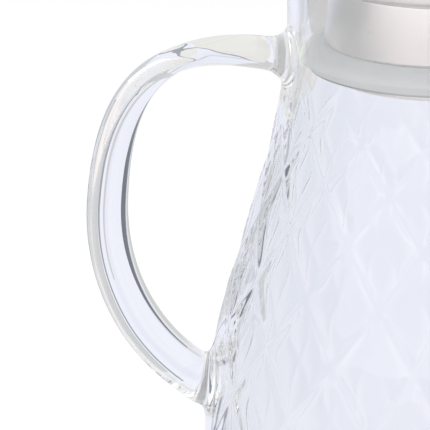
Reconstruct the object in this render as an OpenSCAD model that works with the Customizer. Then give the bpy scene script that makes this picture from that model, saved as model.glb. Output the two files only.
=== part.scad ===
// Glass pitcher with a lift-out steel lid.
// A blown jug carries a net of pressed diamonds and a drawn glass handle.
// The lid is a spun steel cap with a strainer drum under it. The drum plugs the neck
// through a silicone ring, and the lid turns in that ring to bring the slots to the spout.
// Millimetres, +Z up, the jug's axis on Z, its base on z = 0, handle to -X, spout to +X.

/* [Jug] */
// Height of the glass from its base to its rim
jug_h = 237; // [225:1:255]
// Height of the lip above the narrowest place of the neck
lip_h = 22; // [20:0.5:26]
// Drop from the narrowest place of the neck to the widest place of the belly
belly_drop = 115; // [100:1:125]
// Outside diameter at the narrowest place of the neck
waist_d = 78.8; // [74:0.2:84]
// Outside diameter at the widest place of the belly
belly_d = 121.6; // [112:0.2:130]
// Outside diameter at the base, before its corner is rounded
base_d = 114; // [104:0.5:120]
// Outside diameter of the rim
rim_d = 86; // [84:0.2:90]
// Thickness of the glass wall
wall = 2.9; // [2.4:0.1:3.4]
// Thickness of the glass floor
floor_t = 5; // [4:0.5:7]
// Radius of the rounded corner round the base
foot_round = 9; // [6:0.5:12]
// Height of the flat ground disc that the jug stands on
foot_pad_h = 0.5; // [0.3:0.1:0.8]

/* [Spout] */
// How far the spout is pulled out beyond the rim
spout_reach = 14; // [8:0.5:18]
// Height over which the spout leaves the round neck
spout_drop = 19; // [15:0.5:20]
// Half the angle that the spout takes of the rim
spout_half = 34; // [26:1:40]

/* [Diamond net] */
// Number of diamonds round the jug
cells = 16; // [12:1:20]
// Depth of a diamond's middle below its ridges
relief = 0.8; // [0.3:0.1:1.2]
// Drop from the narrowest place of the neck to the net's first crossings
net_drop = 13.5; // [10:0.5:20]
// Height that stays plain above the base
net_foot = 14; // [12:1:24]
// Turn of the net round the jug
net_turn = 2.75; // [0:0.25:22.5]

/* [Handle] */
// Distance from the jug's axis to the middle of the grip
handle_reach = 86.4; // [82:0.2:92]
// Drop from the neck's narrowest place to the middle of the upper joint
handle_top_drop = 10; // [8:0.5:12]
// Drop from the neck's narrowest place to the grip's furthest point
grip_drop = 51.6; // [48:0.2:56]
// Drop from the neck's narrowest place to the middle of the lower joint
handle_low_drop = 101; // [96:0.5:106]
// Thickness of the handle by the upper joint
handle_top_t = 8.1; // [7:0.1:9]
// Thickness of the handle in its upper bend, where it is thinnest
handle_bend_t = 6.9; // [6:0.1:8]
// Thickness of the handle at the grip
grip_t = 10.4; // [9:0.1:12]
// Thickness of the handle by the lower joint
handle_low_t = 11.8; // [10:0.1:13]
// Width of the handle across the jug
handle_w = 13; // [11:0.2:16]

/* [Lid] */
// Gap between the strainer drum and the neck, where the drink runs
pour_gap = 8; // [7.6:0.1:9]
// How much wider the drum is at its foot than at its top
drum_flare = 1.4; // [1:0.1:1.8]
// Radius of the bead that holds the silicone ring on the drum
bead_r = 1.2; // [0.8:0.1:1.6]
// Width of the drum's top flange, which is welded to the cap
weld_w = 4; // [3:0.5:5]
// Radius of the drum's lower corner
drum_corner = 2.6; // [2:0.1:3]
// Drop from the neck's narrowest place to the drum's shoulder
plug_drop = 6.4; // [4.5:0.1:7.5]
// Thickness of the lid's sheet steel
steel_t = 0.8; // [0.6:0.1:1]
// Gap between the cap's sunk well and the neck
well_gap = 5; // [4:0.1:6]
// Depth of the cap's sunk well below its rim
well_depth = 12.9; // [10:0.1:14]
// Radius of the well's lower corner
well_corner = 3; // [2:0.5:4]
// How far the cap's rim reaches over the glass
cap_overhang = 2.6; // [2:0.1:4]
// Radius of the roll round the cap's edge
roll_r = 1; // [0.8:0.1:1.4]
// Radius of the bend between the cap's well and its rim
bend_r = 1.6; // [1.2:0.1:2.4]

/* [Strainer] */
// Number of slots in the drum
slots = 9; // [5:1:11]
// Width of a slot
slot_w = 2.6; // [2:0.1:3]
// Height of a slot
slot_h = 8.4; // [6:0.2:9]
// Steel left between two slots
slot_web = 2.2; // [1.8:0.1:2.6]

/* [Silicone ring] */
// Height of the silicone ring
seal_h = 6.6; // [6:0.1:8.5]
// Thickness of the ring's sleeve, which sits on the drum
sleeve_t = 3; // [2.4:0.1:3.6]
// Thickness of the ring's lip, which seals against the glass
lip_t = 1.2; // [1:0.1:1.5]
// How far the lip leans in from its edge to its foot
lip_lean = 2.4; // [1.8:0.1:3]
// Fall of the ring's top from the drum out to the glass
seal_fall = 1.8; // [1:0.1:2.4]

/* [Knob] */
// Height of the knob above the well's floor
knob_h = 32; // [28:0.5:36]
// Diameter of the knob's head
knob_d = 27; // [24:0.5:32]
// Diameter of the knob's neck
knob_neck_d = 11; // [9:0.5:13]
// Diameter of the knob's foot
knob_foot_d = 17; // [15:0.5:20]
// Diameter of the knob's screw
screw_d = 4; // [3:0.5:5]
// How deep the screw goes into the knob
screw_depth = 9; // [7:0.5:12]
// Diameter of the screw's head
screw_head_d = 7.8; // [7.2:0.2:9]
// Height of the screw's head
screw_head_h = 2.6; // [2:0.1:3.2]
// Diameter of the washer
washer_d = 10; // [9.4:0.2:12]
// Thickness of the washer
washer_t = 0.8; // [0.5:0.1:1.2]

/* [Hidden] */

// Clearances
seal_gap = 0.3;
seat_gap = 0.1;
turn_gap = 0.05;
joint_gap = 0.02;
cut = 1;

// Sizes worked out from the jug's
waist_r = waist_d / 2;
belly_r = belly_d / 2;
base_r = base_d / 2;
rim_r = rim_d / 2;
waist_z = jug_h - lip_h;
belly_z = waist_z - belly_drop;
bore_r = waist_r - wall;
inner_round = foot_round + wall;
spout_z = jug_h - spout_drop;
net_top_z = waist_z - net_drop;

// Fineness of the net's mesh: points along one side of a diamond
fine = 3;
ring_points = cells * fine;
cell_angle = 360 / cells;
// Height of half a diamond as a share of the radius where it lies
net_pitch_share = 0.29;
// Roundness of a diamond's dish: low is flat with steep sides
dish_share = 0.6;
// Where the net has faded in, as a share of its drop below the first crossings
fade_share = 1.6;

function within(t) = min(1, max(0, t));
function ease(t) = pow(sin(90 * within(t)), 2);

// Outside radius of the round glass at a height, ridges of the net included
function blown_r(z) =
    z >= waist_z ? waist_r + (rim_r - waist_r) * pow((z - waist_z) / lip_h, 2)
    : z >= belly_z ? waist_r + (belly_r - waist_r) * ease((waist_z - z) / belly_drop)
    : belly_r - (belly_r - base_r) * pow((belly_z - z) / belly_z, 2);

// How far a quarter-round corner of radius r stands back, a height h above its foot
function corner(h, r) = h >= r ? 0 : r - sqrt(max(0, r * r - pow(r - max(0, h), 2)));

// How far the spout is pulled out of the round neck at an angle and a height
function spout_pull(angle, z) =
    let (off = abs(angle > 180 ? angle - 360 : angle))
    off >= spout_half ? 0
    : spout_reach * pow(cos(90 * off / spout_half), 2) * pow(within((z - spout_z) / spout_drop), 2);

function outer_r(angle, z) = blown_r(z) - corner(z - foot_pad_h, foot_round) + spout_pull(angle, z);
function inner_r(angle, z) =
    blown_r(z) - wall - corner(z - floor_t, inner_round) + spout_pull(angle, z);

// Heights of the net's crossings, each a little further below the last as the jug widens
function crossings(z) =
    z < net_foot + net_pitch_share * base_r ? [z]
    : concat([z], crossings(z - net_pitch_share * blown_r(z)));
net_z = crossings(net_top_z);
net_rings = (len(net_z) - 1) * fine;

// Height of a ring of the net's mesh, counted down from the first crossings
function net_ring_z(ring) =
    let (level = min(floor(ring / fine), len(net_z) - 2), part = ring / fine - level)
    net_z[level] + (net_z[level + 1] - net_z[level]) * part;

// Strength of the net at a height: it fades in under the neck and out above the base
function net_fade(z) =
    ease((waist_z - z) / (net_drop * (1 + fade_share))) * ease((z - net_foot) / net_drop);

// Depth of the net's dish at an angle and a level counted down in half diamonds
function dish(angle, level) =
    let (across = (angle - net_turn) / cell_angle, u = level / 2 + across, v = level / 2 - across)
    pow(abs(sin(180 * u) * sin(180 * v)), dish_share);

function at(angle, r, z) = [r * cos(angle), r * sin(angle), z];
function turned(angle) = angle >= 360 ? angle - 360 : angle;

// The surfaces that the rings of the jug's mesh lie on
on_outside = 0;
on_net = 1;
on_rim = 2;
on_inside = 3;

function outside_point(a, z) = at(a, outer_r(a, z), z);
function inside_point(a, z) = at(a, inner_r(a, z), z);
function net_point(a, ring) =
    let (z = net_ring_z(ring))
    at(a, outer_r(a, z) - relief * net_fade(z) * dish(a, ring / fine), z);
// The rim is a half round from the outside, at turn 0, to the inside, at turn 180
function rim_point(a, turn) =
    let (z = jug_h - wall / 2, middle = (outer_r(a, z) + inner_r(a, z)) / 2)
    at(a, middle + wall / 2 * cos(turn), z + wall / 2 * sin(turn));
function jug_point(surface, a, place) =
    surface == on_outside ? outside_point(a, place)
    : surface == on_net ? net_point(a, place)
    : surface == on_rim ? rim_point(a, place)
    : inside_point(a, place);

// Rings up the outside, over the rim and down to the floor
foot_steps = 4;
neck_steps = 9;
rim_steps = 4;
bore_steps = 16;
floor_steps = 5;
// Above 1, the rings of the bore lie closer together in the neck
bore_lean_share = 1.3;
neck_high_z = jug_h - wall / 2;
floor_high_z = floor_t + inner_round;
function foot_z(step) = foot_pad_h + (1 - cos(90 * step / foot_steps)) * foot_round;
function neck_z(step) = net_top_z + (neck_high_z - net_top_z) * step / neck_steps;
function bore_z(step) =
    neck_high_z + (floor_high_z - neck_high_z) * pow(step / bore_steps, bore_lean_share);
function floor_z(step) = floor_t + (1 - sin(90 * step / floor_steps)) * inner_round;

// Each ring's surface, and its height or place on that surface
stations = concat(
    [for (s = [0:foot_steps]) [on_outside, foot_z(s)]],
    [for (s = [0:net_rings]) [on_net, net_rings - s]],
    [for (s = [1:neck_steps]) [on_outside, neck_z(s)]],
    [for (s = [1:rim_steps]) [on_rim, 180 * s / rim_steps]],
    [for (s = [1:bore_steps]) [on_inside, bore_z(s)]],
    [for (s = [1:floor_steps]) [on_inside, floor_z(s)]]
);

// Every second ring is turned by half a step, so that the net's ridges run along edges.
// The net's own ring 0 is an even one, and the count starts from there.
function odd(k) = (k + foot_steps + 1 + net_rings) % 2;
function jug_ring(k) = [for (i = [0:ring_points - 1])
    let (a = turned(net_turn + (i + odd(k) / 2) * 360 / ring_points))
    jug_point(stations[k][0], a, stations[k][1])];

// The strip between ring k and the next leans one way from an even ring and the other
// way from an odd one
function strip(k) = [for (i = [0:ring_points - 1])
    let (
        j = (i + 1) % ring_points,
        a = k * ring_points + i,
        b = k * ring_points + j,
        c = a + ring_points,
        d = b + ring_points
    )
    each (odd(k) == 1 ? [[a, c, d], [a, d, b]] : [[a, c, b], [b, c, d]])];

module blown_shell() {
    last = len(stations) - 1;
    polyhedron(
        points = [for (k = [0:last]) each jug_ring(k)],
        faces = concat(
            [for (k = [0:last - 1]) each strip(k)],
            [[for (i = [0:ring_points - 1]) i]],
            [[for (i = [0:ring_points - 1]) (last + 1) * ring_points - 1 - i]]
        )
    );
}

// The jug: one blown piece, with a flat disc ground under it
module glass_body() {
    color([0.88, 0.91, 0.96, 0.35]) {
        blown_shell();
        cylinder(h = foot_pad_h + floor_t / 2, r = base_r - foot_round - wall, $fn = 96);
    }
}

// Handle: two cubic curves in the plane of the jug's axis, swept with an oval section
top_z = waist_z - handle_top_drop;
grip_z = waist_z - grip_drop;
low_z = waist_z - handle_low_drop;
joint_top_x = -(waist_r - wall / 2);
joint_low_x = -(blown_r(low_z) - wall / 2);
// How far each curve's handles reach, as shares of the stretch that the curve spans
top_run_share = 0.74;
top_lift_share = 0.07;
bend_drop_share = 0.24;
grip_drop_share = 0.43;
low_run_share = 0.53;
low_rise_share = 0.19;

upper_curve = [
    [joint_top_x, top_z],
    [joint_top_x + (-handle_reach - joint_top_x) * top_run_share,
        top_z + (top_z - grip_z) * top_lift_share],
    [-handle_reach, top_z + (grip_z - top_z) * bend_drop_share],
    [-handle_reach, grip_z]
];
lower_curve = [
    [-handle_reach, grip_z],
    [-handle_reach, grip_z + (low_z - grip_z) * grip_drop_share],
    [joint_low_x + (-handle_reach - joint_low_x) * low_run_share,
        low_z + (grip_z - low_z) * low_rise_share],
    [joint_low_x, low_z]
];

function curve_point(p, t) =
    pow(1 - t, 3) * p[0] + 3 * pow(1 - t, 2) * t * p[1] + 3 * (1 - t) * t * t * p[2] + pow(t, 3) * p[3];
function curve_way(p, t) =
    pow(1 - t, 2) * (p[1] - p[0]) + 2 * (1 - t) * t * (p[2] - p[1]) + t * t * (p[3] - p[2]);

// The place t runs from 0 at the upper joint through 1 at the grip to 2 at the lower joint
function handle_point(t) = t <= 1 ? curve_point(upper_curve, t) : curve_point(lower_curve, t - 1);
function handle_way(t) =
    let (way = t <= 1 ? curve_way(upper_curve, t) : curve_way(lower_curve, t - 1)) way / norm(way);
function between(a, b, t) = a + (b - a) * ease(t);
bend_at_share = 0.6;
function handle_t(t) =
    t < bend_at_share ? between(handle_top_t, handle_bend_t, t / bend_at_share)
    : t < 1 ? between(handle_bend_t, grip_t, (t - bend_at_share) / (1 - bend_at_share))
    : between(grip_t, handle_low_t, t - 1);
// Both ends swell where the hot glass was pressed on
swell_share = 0.28;
swell_run_share = 0.22;
function swell(t) =
    1 + swell_share * (pow(within(1 - t / swell_run_share), 2) + pow(within(1 - (2 - t) / swell_run_share), 2));

handle_steps = 44;
handle_sides = 24;
function handle_ring(step) =
    let (
        t = 2 * step / handle_steps,
        middle = handle_point(t),
        way = handle_way(t),
        across = [-way[1], way[0]],
        half_t = handle_t(t) / 2 * swell(t),
        half_w = handle_w / 2 * (1 + (swell(t) - 1) / 2)
    )
    [for (i = [0:handle_sides - 1])
        let (a = 360 * i / handle_sides, off = half_t * cos(a))
        [middle[0] + across[0] * off, half_w * sin(a), middle[1] + across[1] * off]];

// The round glass without its net, filled: what the handle's ends are cut to
blank_steps = 40;
module glass_blank(gap) {
    rotate_extrude($fn = 96)
        polygon(concat(
            [[0, 0]],
            [for (s = [0:blank_steps])
                let (z = jug_h * s / blank_steps) [blown_r(z) - corner(z, foot_round) + gap, z]],
            [[0, jug_h]]
        ));
}

module smooth_stack(rings) {
    n = len(rings[0]);
    count = len(rings);
    sides = [for (k = [0:count - 2]) for (i = [0:n - 1])
        let (j = (i + 1) % n, a = k * n + i, b = k * n + j, c = a + n, d = b + n)
        each [[a, b, c], [b, d, c]]];
    first_cap = [[for (i = [n - 1:-1:0]) i]];
    last_cap = [[for (i = [0:n - 1]) (count - 1) * n + i]];
    polyhedron(points = [for (r = rings) each r], faces = concat(sides, first_cap, last_cap));
}

module handle() {
    color([0.86, 0.89, 0.94, 0.45])
        difference() {
            smooth_stack([for (s = [0:handle_steps]) handle_ring(s)]);
            glass_blank(joint_gap);
        }
}

// Lid: heights and radii that its pieces share
cap_seat_z = jug_h + seat_gap;
well_floor_z = cap_seat_z - well_depth;
well_r = bore_r - well_gap;
cap_r = rim_r + cap_overhang;
drum_top_r = bore_r - pour_gap;
drum_foot_r = drum_top_r + drum_flare;
spigot_r = drum_foot_r - drum_corner;
shoulder_z = waist_z - plug_drop;
drum_top_z = well_floor_z;
seal_low_z = shoulder_z - seal_h;
spigot_low_z = seal_low_z - seat_gap;

function arc(middle, r, from, to, steps) = [for (s = [0:steps])
    let (a = from + (to - from) * s / steps) middle + r * [cos(a), sin(a)]];
arc_steps = 8;

// The cap is spun from one sheet: a sunk well, a rim over the glass and a rolled edge
module lid_cap() {
    low = well_floor_z;
    high = cap_seat_z + steel_t;
    middle = [well_r - well_corner, low + well_corner];
    roll = [cap_r - roll_r, cap_seat_z + roll_r];
    bend = [well_r - steel_t + bend_r, high - bend_r];
    color([0.78, 0.78, 0.79])
        difference() {
            rotate_extrude($fn = 128)
                polygon(concat(
                    [[0, low]],
                    arc(middle, well_corner, -90, 0, arc_steps),
                    arc(bend, bend_r - steel_t, 180, 90, arc_steps),
                    arc(roll, roll_r, -90, 165, 2 * arc_steps),
                    [[cap_r - 2 * roll_r, high]],
                    arc(bend, bend_r, 90, 180, arc_steps),
                    arc(middle, well_corner - steel_t, 0, -90, arc_steps),
                    [[0, low + steel_t]]
                ));
            translate([0, 0, low - cut])
                cylinder(h = steel_t + 2 * cut, r = screw_d / 2 + seat_gap, $fn = 32);
        }
}

// The strainer drum: a shoulder over the silicone ring, a spigot through it and a bead under it
module drum_wall() {
    corner_middle = [drum_foot_r - drum_corner, shoulder_z + drum_corner];
    bead = [spigot_r, spigot_low_z - bead_r];
    rotate_extrude($fn = 128)
        polygon(concat(
            [[drum_top_r - weld_w, drum_top_z], [drum_top_r, drum_top_z]],
            [[drum_foot_r, shoulder_z + drum_corner]],
            arc(corner_middle, drum_corner, 0, -90, arc_steps),
            arc(bead, bead_r, 90, -90, arc_steps),
            [[spigot_r - steel_t, spigot_low_z - 2 * bead_r]],
            [[spigot_r - steel_t, shoulder_z + steel_t]],
            arc(corner_middle, drum_corner - steel_t, -90, 0, arc_steps),
            [[drum_top_r - steel_t, drum_top_z - steel_t], [drum_top_r - weld_w, drum_top_z - steel_t]]
        ));
}

module strainer_slot(middle_z) {
    straight = slot_h - slot_w;
    translate([drum_top_r - steel_t - cut, 0, middle_z])
        rotate([0, 90, 0]) {
            translate([-straight / 2, -slot_w / 2, 0])
                cube([straight, slot_w, drum_flare + steel_t + 2 * cut]);
            for (end = [-1, 1])
                translate([end * straight / 2, 0, 0])
                    cylinder(h = drum_flare + steel_t + 2 * cut, d = slot_w, $fn = 24);
        }
}

module pour_drum() {
    middle_z = (drum_top_z - steel_t + shoulder_z + drum_corner) / 2;
    step = (slot_w + slot_web) / drum_top_r * 180 / PI;
    color([0.72, 0.72, 0.73])
        difference() {
            drum_wall();
            for (i = [0:slots - 1])
                rotate([0, 0, (i - (slots - 1) / 2) * step])
                    strainer_slot(middle_z);
        }
}

// The silicone ring: a sleeve on the spigot, a sloping top and a lip against the glass
module seal_ring() {
    bore = spigot_r + turn_gap;
    edge_r = bore_r - seal_gap;
    top_z = shoulder_z - seat_gap;
    edge_z = top_z - seal_fall;
    color([0.85, 0.87, 0.88, 0.8])
        rotate_extrude($fn = 128)
            polygon([
                [bore, top_z],
                [bore + sleeve_t, top_z],
                [edge_r - lip_t / 2, edge_z],
                [edge_r, edge_z - lip_t / 2],
                [edge_r, edge_z - lip_t],
                [edge_r - lip_lean, seal_low_z],
                [edge_r - lip_lean - lip_t, seal_low_z],
                [edge_r - lip_t, edge_z - lip_t - lip_t / 2],
                [bore + sleeve_t, top_z - lip_t - lip_t / 2],
                [bore + sleeve_t, seal_low_z],
                [bore, seal_low_z]
            ]);
}

// The knob is turned from solid steel and held by a screw from under the well
module lid_knob() {
    low = well_floor_z + steel_t;
    foot_r = knob_foot_d / 2;
    neck_r = knob_neck_d / 2;
    head_r = knob_d / 2;
    // Heights up the knob, as shares of its height
    foot_share = 0.07;
    neck_share = 0.4;
    brim_share = 0.7;
    crown_share = 0.86;
    color([0.8, 0.8, 0.81])
        difference() {
            rotate_extrude($fn = 96)
                polygon(concat(
                    [[0, low], [foot_r, low], [foot_r, low + knob_h * foot_share]],
                    [for (s = [1:arc_steps]) let (t = s / arc_steps)
                        [foot_r + (neck_r - foot_r) * sin(90 * t),
                            low + knob_h * (foot_share + (neck_share - foot_share) * (1 - cos(90 * t)))]],
                    [for (s = [1:arc_steps]) let (t = s / arc_steps)
                        [neck_r + (head_r - neck_r) * ease(t),
                            low + knob_h * (neck_share + (brim_share - neck_share) * t)]],
                    [for (s = [1:arc_steps]) let (t = s / arc_steps)
                        [head_r * cos(30 * t), low + knob_h * (brim_share + (crown_share - brim_share) * sin(90 * t))]],
                    [for (s = [1:arc_steps]) let (t = s / arc_steps)
                        [head_r * cos(30) * cos(90 * t),
                            low + knob_h * (crown_share + (1 - crown_share) * sin(90 * t))]]
                ));
            translate([0, 0, low - cut])
                cylinder(h = screw_depth + seat_gap + cut, r = screw_d / 2 + turn_gap, $fn = 32);
        }
}

module knob_washer() {
    color([0.7, 0.7, 0.71])
        translate([0, 0, well_floor_z - washer_t])
            difference() {
                cylinder(h = washer_t, d = washer_d, $fn = 48);
                translate([0, 0, -cut])
                    cylinder(h = washer_t + 2 * cut, r = screw_d / 2 + seat_gap, $fn = 32);
            }
}

module knob_screw() {
    head_z = well_floor_z - washer_t - screw_head_h;
    // Cross recess of the head, as shares of its sizes
    recess_l_share = 0.62;
    recess_w_share = 0.16;
    recess_depth_share = 0.5;
    color([0.66, 0.66, 0.68])
        difference() {
            union() {
                translate([0, 0, head_z])
                    cylinder(h = screw_head_h, d = screw_head_d, $fn = 48);
                translate([0, 0, head_z])
                    cylinder(h = screw_head_h + washer_t + steel_t + screw_depth, d = screw_d, $fn = 32);
            }
            for (turn = [0, 90])
                rotate([0, 0, turn])
                    translate([0, 0, head_z])
                        cube([screw_head_d * recess_l_share, screw_head_d * recess_w_share,
                            2 * screw_head_h * recess_depth_share], center = true);
        }
}

glass_body();
handle();
lid_cap();
pour_drum();
seal_ring();
lid_knob();
knob_screw();
knob_washer();
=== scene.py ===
"""Glass pitcher with a lift-out steel lid: the looks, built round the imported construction.

The jug and its handle are one piece of glass. The jug's outside is a lattice of diamonds
that is wrapped round the axis, and its rim, inside and foot are grown from that lattice's
two open edges. The lid's pieces are spun from their sections. Metres, +Z up, handle to -X.
"""
from math import atan2, copysign, cos, pi, radians, sin, sqrt, tan

import bmesh
import bpy
from mathutils import Matrix, Vector, kdtree, noise

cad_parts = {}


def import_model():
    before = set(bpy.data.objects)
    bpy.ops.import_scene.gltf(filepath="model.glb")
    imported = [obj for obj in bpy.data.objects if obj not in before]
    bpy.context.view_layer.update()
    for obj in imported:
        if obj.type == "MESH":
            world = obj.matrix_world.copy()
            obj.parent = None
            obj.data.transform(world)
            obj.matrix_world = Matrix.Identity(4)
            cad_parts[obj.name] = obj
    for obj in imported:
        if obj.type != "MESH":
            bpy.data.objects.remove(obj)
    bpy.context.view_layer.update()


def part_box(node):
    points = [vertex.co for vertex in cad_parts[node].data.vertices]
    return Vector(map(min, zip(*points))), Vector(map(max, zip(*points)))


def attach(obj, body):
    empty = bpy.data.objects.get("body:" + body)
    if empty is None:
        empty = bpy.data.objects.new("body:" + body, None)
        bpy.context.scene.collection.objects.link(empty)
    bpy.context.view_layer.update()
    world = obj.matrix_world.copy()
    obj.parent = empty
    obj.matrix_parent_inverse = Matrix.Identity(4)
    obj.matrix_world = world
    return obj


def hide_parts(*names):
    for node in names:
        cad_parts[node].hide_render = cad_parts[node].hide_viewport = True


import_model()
MM = 0.001
MERGE = 0.01 * MM

# The jug's sizes, from the frame where it gives them
jug_low, jug_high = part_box("glass_body")
JUG_H = jug_high.z
BELLY_R = -jug_low.y
LIP_H = 22 * MM
WAIST_Z = JUG_H - LIP_H
WAIST_R = 39.4 * MM
BELLY_DROP = 115 * MM
BELLY_Z = WAIST_Z - BELLY_DROP
BASE_R = 57 * MM
RIM_R = 43 * MM
WALL = 2.9 * MM
FLOOR_T = 5 * MM
FOOT_ROUND = 9 * MM
INNER_ROUND = FOOT_ROUND + WALL
PAD_H = 0.5 * MM
SPOUT_REACH = 14 * MM
SPOUT_DROP = 19 * MM
SPOUT_HALF = radians(34)

# The net of diamonds
CELLS = 16
NET_DROP = 13.5 * MM
NET_FOOT = 14 * MM
NET_TURN = radians(2.75)
NET_PITCH = 0.29
NET_HIGH = WAIST_Z - 11.5 * MM
NET_SOFT = 20 * MM
# Round the handle's lower joint the net is clear this far, and fades in over the next
NET_CLEAR = 15 * MM
CLEAR_SOFT = 12 * MM
RELIEF = 0.55 * MM
GATHER = 0.5
# How far a crossing strays, as a share of a diamond, and where its noise is read
WOBBLE = 0.12
WOBBLE_R = 1.3
WOBBLE_GRAIN = 26
WOBBLE_SHIFTS = (0, 40)
PLAIN_LEVELS = 3


def within(t):
    return min(1, max(0, t))


def ease(t):
    return sin(pi / 2 * within(t)) ** 2


def through(stations, t):
    """A smooth curve through stations of (place, value)."""
    k = 0
    while k + 2 < len(stations) and t > stations[k + 1][0]:
        k += 1
    (start, first), (end, second) = stations[k : k + 2]

    def slope(i):
        before, after = stations[max(0, i - 1)], stations[min(len(stations) - 1, i + 1)]
        return (after[1] - before[1]) / (after[0] - before[0])

    run = end - start
    s = (t - start) / run
    return (
        first * (2 * s**3 - 3 * s**2 + 1)
        + slope(k) * run * (s**3 - 2 * s**2 + s)
        + second * (3 * s**2 - 2 * s**3)
        + slope(k + 1) * run * (s**3 - s**2)
    )


def blown_radius(z):
    """Outside radius of the round glass at a height."""
    if z >= WAIST_Z:
        return WAIST_R + (RIM_R - WAIST_R) * ((z - WAIST_Z) / LIP_H) ** 2
    if z >= BELLY_Z:
        return WAIST_R + (BELLY_R - WAIST_R) * ease((WAIST_Z - z) / BELLY_DROP)
    return BELLY_R - (BELLY_R - BASE_R) * ((BELLY_Z - z) / BELLY_Z) ** 2


def corner(height, radius):
    """How far a quarter-round corner stands back at a height above its foot."""
    if height >= radius:
        return 0
    return radius - sqrt(max(0, radius**2 - (radius - max(0, height)) ** 2))


def spout_pull(angle, z):
    """How far the spout is pulled out of the round neck."""
    off = abs(atan2(sin(angle), cos(angle)))
    if off >= SPOUT_HALF:
        return 0
    rise = within((z - JUG_H + SPOUT_DROP) / SPOUT_DROP)
    return SPOUT_REACH * cos(pi / 2 * off / SPOUT_HALF) ** 2 * rise**2


def outer_radius(angle, z):
    return blown_radius(z) - corner(z - PAD_H, FOOT_ROUND) + spout_pull(angle, z)


def inner_radius(angle, z):
    return blown_radius(z) - WALL - corner(z - FLOOR_T, INNER_ROUND) + spout_pull(angle, z)


def polar(angle, radius, z):
    return Vector((radius * cos(angle), radius * sin(angle), z))


def new_piece(name, mesh_data, body, replaced, material, crease=None):
    """Makes a smooth object of a bmesh, sharp above a crease angle, and says what it is in the frame."""
    mesh = bpy.data.meshes.new(name)
    mesh_data.to_mesh(mesh)
    mesh_data.free()
    mesh.shade_smooth()
    if crease:
        mesh.set_sharp_from_angle(angle=crease)
    mesh.materials.append(material)
    piece = bpy.data.objects.new(name, mesh)
    bpy.context.scene.collection.objects.link(piece)
    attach(piece, body)
    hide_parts(*replaced)


class Socket:
    """A node's output. Python's operators on it add the Math nodes that they stand for."""

    def __init__(self, paint, output):
        self.paint = paint
        self.output = output

    def maths(self, operation, *values):
        return self.paint.add("ShaderNodeMath", {"operation": operation}, dict(enumerate(values)))

    def __add__(self, other):
        return self.maths("ADD", self, other)

    def __radd__(self, other):
        return self.maths("ADD", other, self)

    def __sub__(self, other):
        return self.maths("SUBTRACT", self, other)

    def __rsub__(self, other):
        return self.maths("SUBTRACT", other, self)

    def __mul__(self, other):
        return self.maths("MULTIPLY", self, other)

    def __rmul__(self, other):
        return self.maths("MULTIPLY", other, self)

    def __truediv__(self, other):
        return self.maths("DIVIDE", self, other)

    def power(self, other):
        return self.maths("POWER", self, other)

    def step(self, low, high):
        """0 below low, 1 above high, and smooth between them."""
        return self.paint.add(
            "ShaderNodeMapRange",
            {"interpolation_type": "SMOOTHSTEP"},
            {"Value": self, "From Min": low, "From Max": high},
            "Result",
        )


class Paint:
    """The node tree of one material or of the world."""

    def __init__(self, owner):
        owner.use_nodes = True
        self.tree = owner.node_tree
        self.tree.nodes.clear()

    def add(self, kind, settings=None, inputs=None, output=0):
        """Adds a node: its type, its settings, its sockets' values or links, and the output that is used."""
        node = self.tree.nodes.new(kind)
        for name, value in (settings or {}).items():
            setattr(node, name, value)
        for name, value in (inputs or {}).items():
            if isinstance(value, Socket):
                self.tree.links.new(value.output, node.inputs[name])
            else:
                node.inputs[name].default_value = value
        return Socket(self, node.outputs[output]) if len(node.outputs) else node

    def ramp(self, factor, stops):
        """A colour ramp, its stops as (place, colour)."""
        colour = self.add("ShaderNodeValToRGB", None, {0: factor})
        elements = colour.output.node.color_ramp.elements
        elements[0].position, elements[-1].position = stops[0][0], stops[-1][0]
        elements[0].color, elements[-1].color = [*stops[0][1], 1], [*stops[-1][1], 1]
        for place, shade in stops[1:-1]:
            elements.new(place).color = [*shade, 1]
        return colour

    def mix(self, factor, first, second):
        """Mixes two colours."""
        return self.add("ShaderNodeMix", {"data_type": "RGBA"}, {0: factor, 6: first, 7: second}, 2)

    def output(self, kind, surface):
        self.add(kind, None, {"Surface": surface})


def new_material(name):
    material = bpy.data.materials.new(name)
    return material, Paint(material)


def clear_glass():
    """Clear blown glass, very slightly lavender, its surface a little wavy."""
    material, paint = new_material("clear_glass")
    place = paint.add("ShaderNodeTexCoord", output="Object")
    wave = paint.add("ShaderNodeTexNoise", None, {"Vector": place, "Scale": 90, "Detail": 1})
    depth = 0.1 * MM
    bump = paint.add("ShaderNodeBump", None, {"Height": wave, "Distance": depth, "Strength": 0.6})
    glass = paint.add(
        "ShaderNodeBsdfPrincipled",
        None,
        {
            "Base Color": (0.982, 0.983, 0.985, 1),
            "Roughness": 0,
            "IOR": 1.5,
            "Transmission Weight": 1,
            "Normal": bump,
        },
    )
    paint.output("ShaderNodeOutputMaterial", glass)
    return material


def round_brushing(paint, across=4200, along=2):
    """A pattern of fine lines that run round the axis, from 0 to 1."""
    place = paint.add("ShaderNodeTexCoord", output="Object")
    split = paint.add("ShaderNodeSeparateXYZ", None, {0: place}, "X")
    node = split.output.node
    x, y, z = (Socket(paint, node.outputs[i]) for i in range(3))
    turn = x.maths("ARCTAN2", y, x)
    radius = (x * x + y * y).power(0.5)
    lines = paint.add("ShaderNodeCombineXYZ", None, {0: turn * along, 1: radius * across, 2: z * across})
    return paint.add("ShaderNodeTexNoise", None, {"Vector": lines, "Scale": 1, "Detail": 1})


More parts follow.
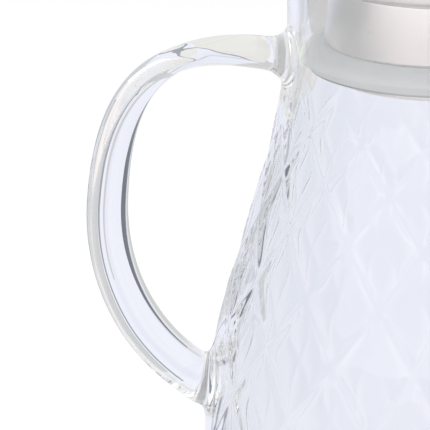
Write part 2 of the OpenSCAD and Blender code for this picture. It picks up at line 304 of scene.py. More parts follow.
def brushed_steel(name, colour, roughness, groove):
    material, paint = new_material(name)
    lines = round_brushing(paint)
    bump = paint.add("ShaderNodeBump", None, {"Height": lines, "Distance": groove, "Strength": 1})
    tint = paint.mix(lines, [c * 0.96 for c in colour] + [1], [*colour, 1])
    steel = paint.add(
        "ShaderNodeBsdfPrincipled",
        None,
        {
            "Base Color": tint,
            "Metallic": 1,
            "Roughness": roughness + (lines - 0.5) * 0.1,
            "Normal": bump,
        },
    )
    paint.output("ShaderNodeOutputMaterial", steel)
    return material


def silicone():
    """Translucent silicone, matt, with the faint mottle of a moulded part."""
    material, paint = new_material("silicone")
    place = paint.add("ShaderNodeTexCoord", output="Object")
    mottle = paint.add("ShaderNodeTexNoise", None, {"Vector": place, "Scale": 260, "Detail": 2})
    tint = paint.mix(mottle, (0.45, 0.465, 0.47, 1), (0.48, 0.495, 0.5, 1))
    # Painted shade darkens the lower edge, most towards the handle, and painted light makes the side at the
    # handle paler
    z = paint.add("ShaderNodeSeparateXYZ", None, {0: place}, "Z")
    x = Socket(paint, z.output.node.outputs[0])
    radius = seal_high.x
    painted_shade_full, painted_shade_end = seal_low.z + 0.3 * MM, seal_low.z + 0.9 * MM
    left = 1 - x.step(-0.9 * radius, -0.3 * radius)
    # Painted shade: a dark band along the lower edge, darkest towards the handle
    edge = (1 - z.step(painted_shade_full, painted_shade_end)) * (left * 0.35 + 0.5)
    tint = paint.mix(edge, tint, (0.12, 0.12, 0.11, 1))
    # Painted light: the side towards the handle is made paler and greener
    painted_light_side = 1 - x.step(-0.985 * radius, -0.92 * radius)
    tint = paint.mix(painted_light_side, tint, (0.72, 0.77, 0.68, 1))
    rubber = paint.add(
        "ShaderNodeBsdfPrincipled",
        None,
        {
            "Base Color": tint,
            "Roughness": 0.45,
            "IOR": 1.41,
            # Stands for the light that comes through the ring from inside the jug
            "Emission Color": tint,
            "Emission Strength": 0.64,
        },
    )
    paint.output("ShaderNodeOutputMaterial", rubber)
    return material


# Glass body


def crossings():
    """Heights of the net's crossings, from the lowest plain level above the net down to the foot."""
    heights = [WAIST_Z - NET_DROP]
    while heights[-1] >= NET_FOOT + NET_PITCH * BASE_R:
        heights.append(heights[-1] - NET_PITCH * blown_radius(heights[-1]))
    plain = (JUG_H - WALL / 2 - heights[0]) / PLAIN_LEVELS
    return [heights[0] + plain * k for k in range(PLAIN_LEVELS, 0, -1)] + heights


CROSSINGS = crossings()
LEVELS = len(CROSSINGS) - 1


def level_height(level):
    """Height at a level of the net, counted down from the rim in half diamonds, without a kink."""
    return through(tuple(enumerate(CROSSINGS)), level)


def net_fade(z):
    """The net fades in under the neck and out above the base."""
    return ease((NET_HIGH - z) / NET_SOFT) * ease((z - NET_FOOT) / NET_DROP)


def ridge(t, width=0.08):
    """A rounded ridge at whole numbers of t: 0 on its crest, near 1 on the flat between."""
    off = t - round(t)
    return off**2 / (off**2 + width**2) * (1 + 4 * width**2)


def dish(u, v):
    """Depth of a diamond's dish, from 0 on its ridges to 1 in its middle."""
    hollow = abs(sin(pi * u) * sin(pi * v))
    return 0.75 * ridge(u) * ridge(v) + 0.25 * hollow


def lattice(side):
    """A sheet of quads whose edges run along the net's ridges, in diamonds across and levels down."""
    reach = CELLS + LEVELS
    sheet = bmesh.new()
    bmesh.ops.create_grid(sheet, x_segments=reach * side, y_segments=reach * side, size=reach / 2)
    # Level 0 has its crossings on whole diamonds when the count of plain levels is even
    shift = PLAIN_LEVELS % 2 / 2
    middle = Vector((CELLS / 2 + shift, LEVELS / 2, 0))
    turn = Matrix(((0.5, -0.5, 0, 0), (1, 1, 0, 0), (0, 0, 1, 0), (0, 0, 0, 1)))
    centre = turn.inverted() @ middle
    whole = Vector((round(centre.x * side) / side, round(centre.y * side) / side, 0))
    bmesh.ops.translate(sheet, verts=sheet.verts, vec=whole)
    bmesh.ops.transform(sheet, matrix=turn, verts=sheet.verts)
    for place, normal in (
        ((0, 0, 0), (-1, 0, 0)),
        ((CELLS, 0, 0), (1, 0, 0)),
        ((0, 0, 0), (0, -1, 0)),
        ((0, LEVELS, 0), (0, 1, 0)),
    ):
        geometry = sheet.verts[:] + sheet.edges[:] + sheet.faces[:]
        bmesh.ops.bisect_plane(sheet, geom=geometry, plane_co=place, plane_no=normal, clear_outer=True)
    return sheet


def gathered(s):
    """Moves a lattice line towards the nearest ridge, so that the ridge is finely meshed."""
    return s - GATHER * sin(2 * pi * s) / (2 * pi)


def wrap(sheet):
    """Wraps the flat lattice round the axis and presses the diamonds in."""
    for vert in sheet.verts:
        across, level = vert.co.x, vert.co.y
        u = gathered(level / 2 + across)
        v = gathered(level / 2 - across)
        across, level = (u - v) / 2, u + v
        angle = NET_TURN + (across - PLAIN_LEVELS / 2) * 2 * pi / CELLS
        z = level_height(level)
        stray = [
            WOBBLE * net_fade(z) * noise.noise(polar(angle, WOBBLE_R, z * WOBBLE_GRAIN + shift))
            for shift in WOBBLE_SHIFTS
        ]
        z = level_height(level + stray[0])
        angle += stray[1] * 2 * pi / CELLS
        vert.co = polar(angle, outer_radius(angle, z), z)
        # Pressing on the handle's lower end smoothed the net out
        clear = ease(((vert.co - Vector((LOW_X, 0, LOW_Z))).length - NET_CLEAR) / CLEAR_SOFT)
        radius = outer_radius(angle, z) - RELIEF * net_fade(z) * clear * dish(u, v)
        vert.co = polar(angle, radius, z)
    bmesh.ops.remove_doubles(sheet, verts=sheet.verts, dist=MERGE)


def open_edge(sheet, high):
    """The sheet's open edge at the top or at the foot."""
    middle = sum(CROSSINGS) / len(CROSSINGS)
    return [e for e in sheet.edges if e.is_boundary and (e.verts[0].co.z > middle) == high]


def grow(sheet, edges, place):
    """Extrudes an open edge, puts each vertex where place says for its angle, and returns the new edge."""
    grown = bmesh.ops.extrude_edge_only(sheet, edges=edges)["geom"]
    for vert in (g for g in grown if isinstance(g, bmesh.types.BMVert)):
        angle = atan2(vert.co.y, vert.co.x)
        vert.co = polar(angle, *place(angle))
    return [g for g in grown if isinstance(g, bmesh.types.BMEdge) and g.is_boundary]


def close(sheet, edges, place):
    """Closes a small open edge in one point."""
    verts = list(dict.fromkeys(v for e in edges for v in e.verts))
    bmesh.ops.pointmerge(sheet, verts=verts, merge_co=place)


def add_rim(sheet, edges, steps=8):
    z = JUG_H - WALL / 2
    for step in range(1, steps + 1):
        turn = pi * step / steps

        def place(angle, turn=turn):
            middle = (outer_radius(angle, z) + inner_radius(angle, z)) / 2
            return middle + WALL / 2 * cos(turn), z + WALL / 2 * sin(turn)

        edges = grow(sheet, edges, place)
    return edges


def add_inside(sheet, edges, steps=36, floor_steps=10):
    high = JUG_H - WALL / 2
    low = FLOOR_T + INNER_ROUND
    for step in range(1, steps + 1):
        z = high + (low - high) * step / steps
        edges = grow(sheet, edges, lambda angle, z=z: (inner_radius(angle, z), z))
    for step in range(1, floor_steps + 1):
        z = FLOOR_T + INNER_ROUND * (1 - sin(pi / 2 * step / floor_steps))
        edges = grow(sheet, edges, lambda angle, z=z: (inner_radius(angle, z), z))
    # The floor is a little thicker in the middle, where the glass was gathered
    crown = 1.5 * MM
    wide = inner_radius(0, FLOOR_T)
    for share in (0.92, 0.8, 0.65, 0.5, 0.35, 0.2, 0.08):
        z = FLOOR_T + crown * ease(1 - share)
        edges = grow(sheet, edges, lambda angle, share=share, z=z: (wide * share, z))
    close(sheet, edges, (0, 0, FLOOR_T + crown))


def add_foot(sheet, edges, steps=10):
    start = CROSSINGS[-1]
    round_z = PAD_H + FOOT_ROUND
    for z in (start + (round_z - start) * t for t in (0.25, 0.5, 0.75)):
        edges = grow(sheet, edges, lambda angle, z=z: (outer_radius(angle, z), z))
    for step in range(steps + 1):
        z = PAD_H + FOOT_ROUND * (1 - sin(pi / 2 * step / steps))
        edges = grow(sheet, edges, lambda angle, z=z: (outer_radius(angle, z), z))
    pad = BASE_R - FOOT_ROUND - WALL
    ledge, pad_edge = 0.5 * MM, 0.2 * MM
    for radius, z in (
        (pad + ledge, PAD_H),
        (pad, PAD_H * 0.7),
        (pad - pad_edge, 0),
        (pad * 0.6, 0),
        (pad * 0.2, 0),
    ):
        edges = grow(sheet, edges, lambda angle, radius=radius, z=z: (radius, z))
    close(sheet, edges, (0, 0, 0))


def jug_shell():
    sheet = lattice(side=14)
    wrap(sheet)
    add_inside(sheet, add_rim(sheet, open_edge(sheet, high=True)))
    add_foot(sheet, open_edge(sheet, high=False))
    bmesh.ops.recalc_face_normals(sheet, faces=sheet.faces)
    return sheet


# Handle

HANDLE_REACH = 86.15 * MM
TOP_Z = WAIST_Z - 11.6 * MM
GRIP_Z = WAIST_Z - 51.6 * MM
LOW_Z = WAIST_Z - 101 * MM
TOP_X = -(WAIST_R - WALL / 2)
LOW_X = -(blown_radius(LOW_Z) - WALL / 2)
HANDLE_W = 13 * MM
# How the handle's curves bow: shares of their run, rise or fall, and how far they swing at the grip
TOP_RUN, TOP_LIFT = 0.72, 0.185
SHOULDER_IN, SHOULDER_DROP = 1.4 * MM, 0.165
GRIP_OUT, GRIP_FALL = 0.6 * MM, 0.46
FOOT_RUN, FOOT_LIFT = 0.6, 0.165


def handle_curves():
    """The two cubic curves of the handle's middle line, in the plane of the jug's axis."""
    top = Vector((TOP_X, 0, TOP_Z))
    grip = Vector((-HANDLE_REACH, 0, GRIP_Z))
    low = Vector((LOW_X, 0, LOW_Z))
    rise = TOP_Z - GRIP_Z
    fall = GRIP_Z - LOW_Z
    return (
        (
            top,
            Vector((top.x + (grip.x - top.x) * TOP_RUN, 0, top.z + rise * TOP_LIFT)),
            Vector((grip.x + SHOULDER_IN, 0, top.z - rise * SHOULDER_DROP)),
            grip,
        ),
        (
            grip,
            Vector((grip.x - GRIP_OUT, 0, grip.z - fall * GRIP_FALL)),
            Vector((low.x + (grip.x - low.x) * FOOT_RUN, 0, low.z + fall * FOOT_LIFT)),
            low,
        ),
    )


def curve_point(p, t):
    return p[0] * (1 - t) ** 3 + p[1] * 3 * (1 - t) ** 2 * t + p[2] * 3 * (1 - t) * t**2 + p[3] * t**3


def curve_way(p, t):
    way = (p[1] - p[0]) * (1 - t) ** 2 + (p[2] - p[1]) * 2 * (1 - t) * t + (p[3] - p[2]) * t**2
    return way.normalized()


# Places along the handle go from 0 at the upper joint, through 1 at the grip, to 2 at the lower joint
THICKNESSES = (
    (0, 11 * MM),
    (0.05, 9 * MM),
    (0.12, 8.5 * MM),
    (0.22, 7.5 * MM),
    (0.38, 6.1 * MM),
    (0.5, 6.7 * MM),
    (0.75, 8.4 * MM),
    (1, 9.9 * MM),
    (1.5, 11.1 * MM),
    (1.9, 11.8 * MM),
    (2, 14 * MM),
)
WIDTHS = (
    (0, 16 * MM),
    (0.06, HANDLE_W),
    (0.2, HANDLE_W),
    (1.8, HANDLE_W),
    (1.94, 14 * MM),
    (2, 16 * MM),
)
# Where the squarer section near the upper joint ends, and how far the section leans, less at that joint
SQUARE_END = 0.6
LEAN_DEGREES = 31
JOINT_LEAN_DEGREES = 18


def squared(value, power):
    return copysign(abs(value) ** (2 / power), value)


def handle_section(t, x, y):
    """The handle's section where x and y run round the unit circle, x towards the jug: (in, back).

    It is an oval that leans, and near the upper joint it is squarer and wider below.
    """
    joint = ease(1 - t / SQUARE_END)
    power = 2 + 0.8 * joint
    lean = -radians(LEAN_DEGREES - JOINT_LEAN_DEGREES * joint)
    thick = through(THICKNESSES, t) / 2 * squared(x, power)
    wide = through(WIDTHS, t) / 2 * squared(y, power) * (1 + 0.3 * joint * x)
    return thick * cos(lean) - wide * sin(lean), wide * cos(lean) + thick * sin(lean)


def handle_place(t, inwards, back):
    """A place beside the handle's middle line: inwards to the finger gap, and back from the camera."""
    curve, part = (handle_curves()[0], t) if t <= 1 else (handle_curves()[1], t - 1)
    way = curve_way(curve, part)
    return curve_point(curve, part) + Vector((-way.z * inwards, back, way.x * inwards))


def handle_bar(steps=120, sides=56):
    """The handle, drawn out ring by ring along its curves."""
    bar = bmesh.new()
    ring = bmesh.ops.create_circle(bar, cap_ends=False, segments=sides, radius=1)["verts"]
    unit = [(v.co.x, v.co.y) for v in ring]
    edges = bar.edges[:]
    verts = ring
    for step in range(steps + 1):
        t = 2 * step / steps
        if step > 0:
            grown = bmesh.ops.extrude_edge_only(bar, edges=edges)["geom"]
            edges = [g for g in grown if isinstance(g, bmesh.types.BMEdge) and g.is_boundary]
            verts = [g for g in grown if isinstance(g, bmesh.types.BMVert)]
        for vert, (x, y) in zip(verts, unit):
            vert.co = handle_place(t, *handle_section(t, x, y))
    bmesh.ops.holes_fill(bar, edges=bar.edges[:])
    bmesh.ops.recalc_face_normals(bar, faces=bar.faces)
    return bar


def scratch_object(name, mesh_data):
    mesh = bpy.data.meshes.new(name)
    mesh_data.to_mesh(mesh)
    mesh_data.free()
    thing = bpy.data.objects.new(name, mesh)
    bpy.context.scene.collection.objects.link(thing)
    return thing


def joined(first, second, operation="UNION"):
    """The two solids joined, or the second cut from the first, as a bmesh."""
    a = scratch_object("first", first)
    b = scratch_object("second", second)
    modifier = a.modifiers.new("join", "BOOLEAN")
    modifier.operation = operation
    modifier.solver = "MANIFOLD"
    modifier.object = b
    bpy.context.view_layer.update()
    result = bmesh.new()
    evaluated = a.evaluated_get(bpy.context.evaluated_depsgraph_get())
    result.from_mesh(evaluated.to_mesh())
    evaluated.to_mesh_clear()
    for thing in (a, b):
        mesh = thing.data
        bpy.data.objects.remove(thing)
        bpy.data.meshes.remove(mesh)
    return result


def outside(vert):
    """True on the jug's outside and on its handle."""
    return vert.co.xy.length > blown_radius(vert.co.z) - WALL / 2


# How far round a joint its crease is looked for, and what angle counts as one
JOINT_R = 24 * MM
SHARP = radians(30)


def near_joint(glass, middle):
    """The vertices of the outside round a joint of the handle."""
    return [v for v in glass.verts if outside(v) and (v.co - middle).length < JOINT_R]


def soften_joints(glass, reach=4.5 * MM, grain=0.3 * MM, passes=20, narrowing=0.75):
    """Rounds the crease where the soft handle was pressed on the jug, most at the crease itself."""
    bmesh.ops.triangulate(glass, faces=glass.faces[:])
    for middle in (Vector((-WAIST_R, 0, TOP_Z)), Vector((LOW_X, 0, LOW_Z))):
        crease = [
            v.co.copy()
            for v in near_joint(glass, middle)
            if any(e.calc_face_angle(0) > SHARP for e in v.link_edges)
        ]
        tree = kdtree.KDTree(len(crease))
        for index, place in enumerate(crease):
            tree.insert(place, index)
        tree.balance()
        near = [v for v in near_joint(glass, middle) if tree.find(v.co)[2] < reach]
        bmesh.ops.remove_doubles(glass, verts=near, dist=grain)
        away = [(tree.find(v.co)[2], v) for v in near_joint(glass, middle)]
        for k in range(passes):
            near = [v for distance, v in away if distance < reach * (1 - narrowing * k / passes)]
            bmesh.ops.smooth_vert(
                glass, verts=near, factor=0.5, use_axis_x=True, use_axis_y=True, use_axis_z=True
            )


def glass_jug(material):
    whole = joined(jug_shell(), handle_bar())
    soften_joints(whole)
    new_piece("glass_jug", whole, "jug", ("glass_body", "handle"), material)


# Lid

SPUN_MERGE = 0.002 * MM


def spun(outline, steps=192):
    """Spins a closed outline, a list of (radius, height), round the axis."""
    solid = bmesh.new()
    verts = [solid.verts.new((radius, 0, z)) for radius, z in outline]
    edges = [solid.edges.new(pair) for pair in zip(verts, verts[1:] + verts[:1])]
    bmesh.ops.spin(
        solid,
        geom=verts + edges,
        cent=(0, 0, 0),
        axis=(0, 0, 1),
        angle=2 * pi,
        steps=steps,
        use_merge=True,
    )
    bmesh.ops.remove_doubles(solid, verts=solid.verts, dist=SPUN_MERGE)
    # An outline's edge on the axis spins no face
    bmesh.ops.delete(solid, geom=[e for e in solid.edges if e.is_wire], context="EDGES")
    bmesh.ops.recalc_face_normals(solid, faces=solid.faces)
    return solid


def arc(middle, radius, start, end, steps=10):
    """Points along an arc, with its angles in degrees."""
    return [
        (
            middle[0] + radius * cos(radians(start + (end - start) * s / steps)),
            middle[1] + radius * sin(radians(start + (end - start) * s / steps)),
        )
        for s in range(steps + 1)
    ]


STEEL_T = 0.8 * MM
FIT = 0.1 * MM
RING_FIT = 0.05 * MM
cap_low, cap_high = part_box("lid_cap")
drum_low, drum_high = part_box("pour_drum")
seal_low, seal_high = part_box("seal_ring")
knob_low, knob_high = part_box("lid_knob")
washer_low, washer_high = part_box("knob_washer")
SEAT_Z = JUG_H + FIT
CAP_R = cap_high.x
WELL_R = 31.5 * MM
WELL_CORNER = 3 * MM
ROLL_R = 1 * MM
BEND_R = 1.6 * MM
DRUM_TOP_R = 28.5 * MM
DRUM_FOOT_R = drum_high.x
SHOULDER_W = 2.6 * MM
SPIGOT_R = DRUM_FOOT_R - SHOULDER_W
DRUM_CORNER = 0.8 * MM
BEAD_R = 1.2 * MM
WELD_W = 4 * MM
SCREW_HOLE_R = 2.1 * MM
SLOTS = 9
SLOT_W = 2.6 * MM
SLOT_H = 8.4 * MM
SLOT_WEB = 2.2 * MM
CREASE = radians(35)


def lid_cap(material):
    low = cap_low.z
    high = SEAT_Z + STEEL_T
    middle = (WELL_R - WELL_CORNER, low + WELL_CORNER)
    roll = (CAP_R - ROLL_R, SEAT_Z + ROLL_R)
    bend = (WELL_R - STEEL_T + BEND_R, high - BEND_R)
    outline = (
        [(SCREW_HOLE_R, low)]
        + arc(middle, WELL_CORNER, -90, 0)
        + arc(bend, BEND_R - STEEL_T, 180, 90)
        + arc(roll, ROLL_R, -90, 165, 20)
        + [(CAP_R - 2 * ROLL_R, high)]
        + arc(bend, BEND_R, 90, 180)
        + arc(middle, WELL_CORNER - STEEL_T, 0, -90)
        + [(SCREW_HOLE_R, low + STEEL_T)]
    )
    new_piece("lid_cap", spun(outline), "lid", ("lid_cap",), material, CREASE)


def slot_cutter():
    """The strainer's row of slots with round ends, side by side in the drum's wall towards the spout."""
    radius = SLOT_W / 2
    middle = (drum_high.z - STEEL_T + seal_high.z + DRUM_FOOT_R - SPIGOT_R) / 2
    straight = SLOT_H / 2 - radius
    outline = arc((0, middle + straight), radius, 0, 180) + arc((0, middle - straight), radius, 180, 360)
    cutter = bmesh.new()
    for k in range(SLOTS):
        turn = Matrix.Rotation((k - (SLOTS - 1) / 2) * (SLOT_W + SLOT_WEB) / DRUM_TOP_R, 4, "Z")
        near, far = (
            [cutter.verts.new(turn @ Vector((reach, y, z))) for y, z in outline]
            for reach in (SPIGOT_R * 0.8, SPIGOT_R * 1.4)
        )
        cutter.faces.new(near)
        cutter.faces.new(far)
        for corners in zip(near, near[1:] + near[:1], far[1:] + far[:1], far):
            cutter.faces.new(corners)
    bmesh.ops.recalc_face_normals(cutter, faces=cutter.faces)
    return cutter


def pour_drum(material):
    high = drum_high.z
    shoulder = seal_high.z + FIT
    spigot_low = drum_low.z + 2 * BEAD_R
    middle = (DRUM_FOOT_R - DRUM_CORNER, shoulder + DRUM_CORNER)
    bead = (SPIGOT_R, spigot_low - BEAD_R)
    top_round = 0.6 * MM
    outline = (
        [(DRUM_TOP_R - WELD_W, high)]
        + arc((DRUM_TOP_R - top_round, high - top_round), top_round, 90, 0, 5)
        + arc(middle, DRUM_CORNER, 0, -90)
        + [(SPIGOT_R + STEEL_T, shoulder), (SPIGOT_R, shoulder - STEEL_T)]
        + arc(bead, BEAD_R, 90, -90)
        + [(SPIGOT_R - STEEL_T, spigot_low - 2 * BEAD_R)]
        + [(SPIGOT_R - STEEL_T, shoulder), (SPIGOT_R, shoulder + STEEL_T)]
        + arc(middle, DRUM_CORNER - STEEL_T, -90, 0)
        + [(DRUM_TOP_R - STEEL_T, high - STEEL_T), (DRUM_TOP_R - WELD_W, high - STEEL_T)]
    )
    drum = joined(spun(outline), slot_cutter(), "DIFFERENCE")
    new_piece("pour_drum", drum, "lid", ("pour_drum",), material, CREASE)


def seal_ring(material):
    bore = SPIGOT_R + RING_FIT
    edge_r = seal_high.x
    top, low = seal_high.z, seal_low.z
    sleeve = 3 * MM
    lip = 1.2 * MM
    lean = 2.4 * MM
    fall = 3.6 * MM
    wide = edge_r - bore - sleeve
    turns = [pi / 32 * k for k in range(17)]
    dome = [(bore + sleeve + wide * sin(t), top - fall * (1 - cos(t))) for t in turns]
    outline = [
        (bore, top),
        *dome,
        *arc((edge_r - lean - lip / 2, low + lip / 2), lip / 2, 0, -180, 12),
        (edge_r - lip, top - fall - lip / 2),
        (bore + sleeve, top - 1.5 * lip),
        (bore + sleeve, low),
        (bore, low),
    ]
    new_piece("seal_ring", spun(outline), "seal", ("seal_ring",), material)


KNOB_FOOT_R = 8.5 * MM
KNOB_NECK_R = 5.5 * MM
SCREW_DEPTH = 9 * MM


def lid_knob(material):
    """The turned knob: a foot, a waisted neck, and a head with a domed crown."""
    low, tall = knob_low.z, knob_high.z - knob_low.z
    head_r = knob_high.x
    foot, neck, brim, crown = (low + tall * share for share in (0.07, 0.4, 0.7, 0.86))
    soft = 0.3 * MM
    shares = [k / 14 for k in range(1, 15)]
    narrowing = KNOB_NECK_R - KNOB_FOOT_R
    widening = head_r - KNOB_NECK_R
    crown_r = head_r * cos(pi / 6)
    dome = knob_high.z - crown
    outline = (
        [(SCREW_HOLE_R, low), (KNOB_FOOT_R - soft, low), (KNOB_FOOT_R, low + soft), (KNOB_FOOT_R, foot)]
        + [
            (KNOB_FOOT_R + narrowing * sin(pi / 2 * s), foot + (neck - foot) * (1 - cos(pi / 2 * s)))
            for s in shares
        ]
        + [(KNOB_NECK_R + widening * ease(s), neck + (brim - neck) * s) for s in shares]
        + [(head_r * cos(pi / 6 * s), brim + (crown - brim) * sin(pi / 2 * s)) for s in shares]
        + [(crown_r * cos(pi / 2 * s), crown + dome * sin(pi / 2 * s)) for s in shares[:-1]]
        + [(0, knob_high.z), (0, low + SCREW_DEPTH), (SCREW_HOLE_R, low + SCREW_DEPTH)]
    )
    new_piece("lid_knob", spun(outline), "lid", ("lid_knob",), material, CREASE)


def knob_screw(material):
    low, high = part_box("knob_screw")
    head_r, head_top = high.x, washer_low.z
    shaft_r = SCREW_HOLE_R - FIT
    soft = 0.4 * MM
    outline = (
        [(0, low.z)]
        + arc((head_r - soft, low.z + soft), soft, -90, 0, 6)
        + [(head_r, head_top), (shaft_r, head_top)]
        + [(shaft_r, high.z - soft), (shaft_r - soft, high.z), (0, high.z)]
    )
    screw = spun(outline, 96)
    # The cross recess for the driver
    size = Vector((head_r * 1.24, head_r * 0.32, head_top - low.z))
    for turn in (0, pi / 2):
        recess = bmesh.new()
        bmesh.ops.create_cube(recess, size=1)
        bmesh.ops.scale(recess, vec=size, verts=recess.verts)
        bmesh.ops.transform(recess, matrix=Matrix.Rotation(turn, 4, "Z"), verts=recess.verts)
        bmesh.ops.translate(recess, vec=(0, 0, low.z), verts=recess.verts)
        screw = joined(screw, recess, "DIFFERENCE")
    new_piece("knob_screw", screw, "lid", ("knob_screw",), material, CREASE)


def knob_washer(material):
    soft = 0.15 * MM
    low, high, radius = washer_low.z, washer_high.z, washer_high.x
    outline = (
        [(SCREW_HOLE_R, low)]
        + arc((radius - soft, low + soft), soft, -90, 0, 4)
        + arc((radius - soft, high - soft), soft, 0, 90, 4)
        + [(SCREW_HOLE_R, high)]
    )
    washer = spun(outline, 96)
    new_piece("knob_washer", washer, "lid", ("knob_washer",), material, CREASE)


# Stage, lights and camera


def stage_piece(name, mesh_data, material):
    thing = scratch_object(name, mesh_data)
    thing.data.materials.append(material)
    return thing


def optic_rays(paint):
    """1 for the camera's rays, and 1 for those that show the surroundings through glass and in metal."""
    path = paint.add("ShaderNodeLightPath").output.node
    camera, glossy, refracted = (
        Socket(paint, path.outputs[name])
        for name in ("Is Camera Ray", "Is Glossy Ray", "Is Transmission Ray")
    )
    return camera, glossy.maths("MAXIMUM", glossy, refracted)


WHITE = (1, 1, 1, 1)
BACKDROP = (0.81, 0.84, 0.94)
BRIGHT_SIDE = (0.872, 0.893, 0.985)
FLAG = (0.13, 0.145, 0.18)
GREY_CARD = (0.58, 0.6, 0.61)
BEIGE = (0.8, 0.795, 0.765)
NECK_GREY = (0.64, 0.62, 0.63)
GRIP_GREY = (0.56, 0.575, 0.6)
ROOM = (1.07, 1.015, 1.01)
DARK_GAP = (0.3, 0.32, 0.37)
EYE_Z = 170 * MM
TILT = radians(17.5)

# What stands round the jug, by the angle from straight behind it, in degrees to the right
ROUND_ABOUT = (
    (-180, ROOM),
    (-150, ROOM),
    (-115, (0.88, 0.86, 0.86)),
    (-90, (0.62, 0.63, 0.64)),
    (-60, (0.57, 0.61, 0.57)),
    (-51, (0.82, 0.84, 0.9)),
    (-47, (0.66, 0.68, 0.73)),
    (-42, (0.66, 0.68, 0.73)),
    (-38, BRIGHT_SIDE),
    (-9, BRIGHT_SIDE),
    (-4, BACKDROP),
    (3, BACKDROP),
    (8, BRIGHT_SIDE),
    (30, BRIGHT_SIDE),
    (34, GREY_CARD),
    (60, GREY_CARD),
    (80, (0.6, 0.64, 0.61)),
    (110, (0.75, 0.76, 0.76)),
    (150, ROOM),
    (180, ROOM),
)


def surroundings(paint, place):
    """The studio's colour in a direction: bands round about, the near floor, and what is high up."""
    node = paint.add("ShaderNodeSeparateXYZ", None, {0: place}).output.node
    x, y, z = (Socket(paint, node.outputs[i]) for i in range(3))
    turn = x.maths("ARCTAN2", x, y) / (2 * pi) + 0.5
    rise = z / (x * x + y * y + z * z).power(0.5)
    shade = paint.ramp(turn, [(degrees / 360 + 0.5, colour) for degrees, colour in ROUND_ABOUT])
    # The near floor, the backdrop's top, and the lamps above it
    layers = (
        (1 - rise.step(sin(radians(-56)), sin(radians(-46))), (0.88, 0.885, 0.91, 1)),
        (rise.step(sin(radians(6)), sin(radians(9))), (0.78, 0.79, 0.82, 1)),
        (rise.step(sin(radians(16)), sin(radians(20))), (0.98, 0.98, 0.98, 1)),
    )
    for share, colour in layers:
        shade = paint.mix(share, shade, colour)
    return shade


def unseen_card(name, shade, rows):
    """A strip of card that only glass and metal show, through rows of places from edge to edge."""
    material, paint = new_material(name)
    glow = paint.add("ShaderNodeEmission", None, {"Color": [*shade, 1], "Strength": 1})
    paint.output("ShaderNodeOutputMaterial", glow)
    card = bmesh.new()
    corners = [[card.verts.new(place) for place in row] for row in rows]
    for (a, b), (c, d) in zip(corners, corners[1:]):
        card.faces.new((a, b, d, c))
    thing = stage_piece(name, card, material)
    thing.visible_camera = False
    thing.visible_diffuse = False
    thing.visible_shadow = False


def handle_card(name, shade, behind, stations, steps=40):
    """A strip bent along the handle, from stations of (place along it, inner edge, outer edge)."""
    first, last = stations[0][0], stations[-1][0]
    inner = [(t, near) for t, near, _ in stations]
    outer = [(t, far) for t, _, far in stations]
    rows = []
    for step in range(steps + 1):
        t = first + (last - first) * step / steps
        down = Vector((0, 0, -behind * tan(TILT)))
        rows.append([handle_place(t, through(edge, t), behind) + down for edge in (inner, outer)])
    unseen_card(name, shade, rows)


def handle_bands():
    """Dark and grey cards behind the handle, which show as bands along its glass."""
    near, far = 25 * MM, 60 * MM
    handle_card(
        "dark_card",
        FLAG,
        far,
        (
            (0.6, -50 * MM, -52 * MM),
            (0.78, -34 * MM, -56 * MM),
            (1, -26 * MM, -52 * MM),
            (1.4, -30 * MM, -45 * MM),
            (1.85, -42 * MM, -47 * MM),
        ),
    )
    handle_card(
        "line_card",
        DARK_GAP,
        near,
        (
            (0.4, -1 * MM, -3 * MM),
            (0.55, 3 * MM, 1.5 * MM),
            (0.78, 10 * MM, 6.3 * MM),
            (1, 9.2 * MM, 6.8 * MM),
            (1.3, 8.4 * MM, 6.9 * MM),
            (1.9, 8.4 * MM, 7 * MM),
        ),
    )
    handle_card(
        "thin_card",
        GREY_CARD,
        near,
        (
            (0.04, -1.4 * MM, -2.2 * MM),
            (0.25, -1 * MM, -2 * MM),
            (0.4, -8 * MM, -10 * MM),
            (0.55, -3 * MM, -5 * MM),
            (0.78, 3.5 * MM, 1 * MM),
            (1, 3.6 * MM, 2.2 * MM),
            (1.3, 3.2 * MM, 2.4 * MM),
        ),
    )
    handle_card(
        "grey_card",
        GREY_CARD,
        near,
        (
            (0.42, -2 * MM, -20 * MM),
            (0.55, 13 * MM, 3 * MM),
            (0.78, 26 * MM, 10 * MM),
            (1, 25 * MM, 9.5 * MM),
            (1.5, 23 * MM, 9.5 * MM),
            (1.8, 17 * MM, 9.5 * MM),
        ),
    )


def beige_shelf():
    """A shelf under the handle's upper part, which shows in its glass as a beige wedge with a dark edge.

    It is beige before its line near the jug, and behind the line where the handle bends down.
    """
    height, far_side = 187.3 * MM, 80 * MM
    # Stations are (x, where the line is, how deep the dark edge is)
    line = (
        (-37 * MM, 94 * MM, 5 * MM),
        (-41.7 * MM, 84 * MM, 5 * MM),
        (-46 * MM, 74 * MM, 5 * MM),
        (-49 * MM, 66 * MM, 5 * MM),
        (-51.5 * MM, 58.5 * MM, 4.5 * MM),
        (-54 * MM, 51.5 * MM, 4 * MM),
        (-56 * MM, 45 * MM, 3 * MM),
        (-58 * MM, 38 * MM, 2 * MM),
        (-61 * MM, 28 * MM, 1.5 * MM),
        (-64 * MM, 24 * MM, 2 * MM),
        (-68 * MM, 22 * MM, 2.5 * MM),
        (-72 * MM, 20 * MM, 3 * MM),
        (-78 * MM, 18 * MM, 3 * MM),
    )
    bend_x = -61 * MM
    jug_side, front_slope = -54 * MM, 1.8
    before, behind, dark = [], [], []
    for x, y, deep in line:
        if x >= bend_x:
            front = max(0, (x - jug_side) * front_slope)
            before.append((Vector((x, front, height)), Vector((x, y, height))))
        if x <= bend_x:
            behind.append((Vector((x, y + deep, height)), Vector((x, far_side, height))))
        dark.append((Vector((x, y, height)), Vector((x, y + deep, height))))
    unseen_card("beige_card", BEIGE, before)
    unseen_card("beige_bend", BEIGE, behind)
    unseen_card("shelf_edge", DARK_GAP, dark)


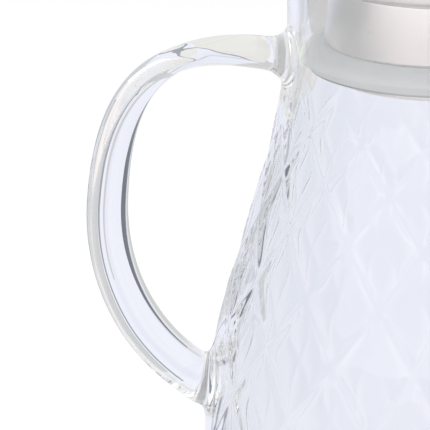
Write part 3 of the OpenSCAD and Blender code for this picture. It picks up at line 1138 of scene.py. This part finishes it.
def side_cards():
    """What shows in the neck's glass beside the drum, and in the outer side of the grip's upper half."""
    back, drum_side = 55 * MM, -20 * MM
    neck = ((-47 * MM, 230 * MM), (-46 * MM, 207 * MM), (-42 * MM, 196 * MM), (-37 * MM, 188 * MM))
    rows = [(Vector((x, back, z)), Vector((drum_side, back, z))) for x, z in neck]
    unseen_card("neck_card", NECK_GREY, rows)
    high, low = 180 * MM, 115 * MM
    sides = ((-151 * MM, -38 * MM), (-131 * MM, -61 * MM), (-97 * MM, -78 * MM))
    rows = [(Vector((x, y, high)), Vector((x, y, low))) for x, y in sides]
    unseen_card("grip_card", GRIP_GREY, rows)


def floor_sheet():
    """A plain white floor that keeps the jug's shadow."""
    material, paint = new_material("floor")
    camera, optic = optic_rays(paint)
    place = paint.add("ShaderNodeTexCoord", output="Object")
    from_jug = paint.add("ShaderNodeVectorMath", {"operation": "SUBTRACT"}, {0: place, 1: (0, 0, EYE_Z)})
    lit = paint.add("ShaderNodeBsdfDiffuse", None, {"Color": (0.8, 0.8, 0.8, 1)})
    fill = paint.add("ShaderNodeEmission", None, {"Color": WHITE, "Strength": 0.3 * camera})
    seen = paint.add("ShaderNodeEmission", None, {"Color": surroundings(paint, from_jug), "Strength": 1})
    own = paint.add("ShaderNodeAddShader", None, {0: lit, 1: fill})
    both = paint.add("ShaderNodeMixShader", None, {0: optic, 1: own, 2: seen})
    paint.output("ShaderNodeOutputMaterial", both)
    sheet = bmesh.new()
    radius, gap = 4, 0.2 * MM
    bmesh.ops.create_circle(sheet, cap_ends=True, segments=64, radius=radius)
    bmesh.ops.translate(sheet, verts=sheet.verts, vec=(0, 0, -gap))
    stage_piece("floor", sheet, material)


def world():
    new_world = bpy.data.worlds.new("studio")
    bpy.context.scene.world = new_world
    paint = Paint(new_world)
    camera, optic = optic_rays(paint)
    way = paint.add("ShaderNodeTexCoord", output="Generated")
    strength = camera + (1 - camera) * 0.75
    plain = paint.add("ShaderNodeBackground", None, {"Color": WHITE, "Strength": strength})
    seen = paint.add("ShaderNodeBackground", None, {"Color": surroundings(paint, way), "Strength": 1})
    both = paint.add("ShaderNodeMixShader", None, {0: optic, 1: plain, 2: seen})
    paint.output("ShaderNodeOutputWorld", both)


def softbox(name, place, aim, size, power):
    data = bpy.data.lights.new(name, "AREA")
    data.shape = "RECTANGLE"
    data.size, data.size_y = size
    data.energy = power
    lamp = bpy.data.objects.new(name, data)
    lamp.matrix_world = Matrix.Translation(place) @ (
        (Vector(aim) - Vector(place)).to_track_quat("-Z", "Y").to_matrix().to_4x4()
    )
    lamp.visible_glossy = False
    bpy.context.scene.collection.objects.link(lamp)


def camera():
    """The photograph's view: the jug's upper left part, from the front and a little above."""
    data = bpy.data.cameras.new("camera")
    data.sensor_width = 36
    data.lens = 320
    distance = 1.0
    aim_out, aim_drop = 58 * MM, 54.3 * MM
    aim = Vector((-aim_out, 0, WAIST_Z - aim_drop))
    eye = bpy.data.objects.new("camera", data)
    eye.matrix_world = Matrix.Translation(aim + distance * Vector((0, -cos(TILT), sin(TILT)))) @ (
        Matrix.Rotation(pi / 2 - TILT, 4, "X")
    )
    bpy.context.scene.collection.objects.link(eye)
    bpy.context.scene.camera = eye


# With fewer bounces the net turns black where the glass is seen edge on
BOUNCES = 64
scene = bpy.context.scene
scene.view_settings.view_transform = "Standard"
scene.cycles.max_bounces = BOUNCES
scene.cycles.transmission_bounces = BOUNCES
scene.cycles.glossy_bounces = BOUNCES
scene.cycles.diffuse_bounces = 6
camera()
world()
floor_sheet()
handle_bands()
beige_shelf()
side_cards()
softbox("key", (-0.7, -0.9, 1.2), (0, 0, 0.15), (2.4, 2.4), 14)

steel = brushed_steel("brushed_steel", (0.86, 0.84, 0.835), 0.3, 0.0005 * MM)
satin = brushed_steel("satin_steel", (0.86, 0.85, 0.84), 0.22, 0.001 * MM)
glass_jug(clear_glass())
lid_cap(steel)
pour_drum(steel)
seal_ring(silicone())
bright = brushed_steel("bright_steel", (0.8, 0.8, 0.81), 0.16, 0.0002 * MM)
lid_knob(satin)
knob_screw(bright)
knob_washer(bright)
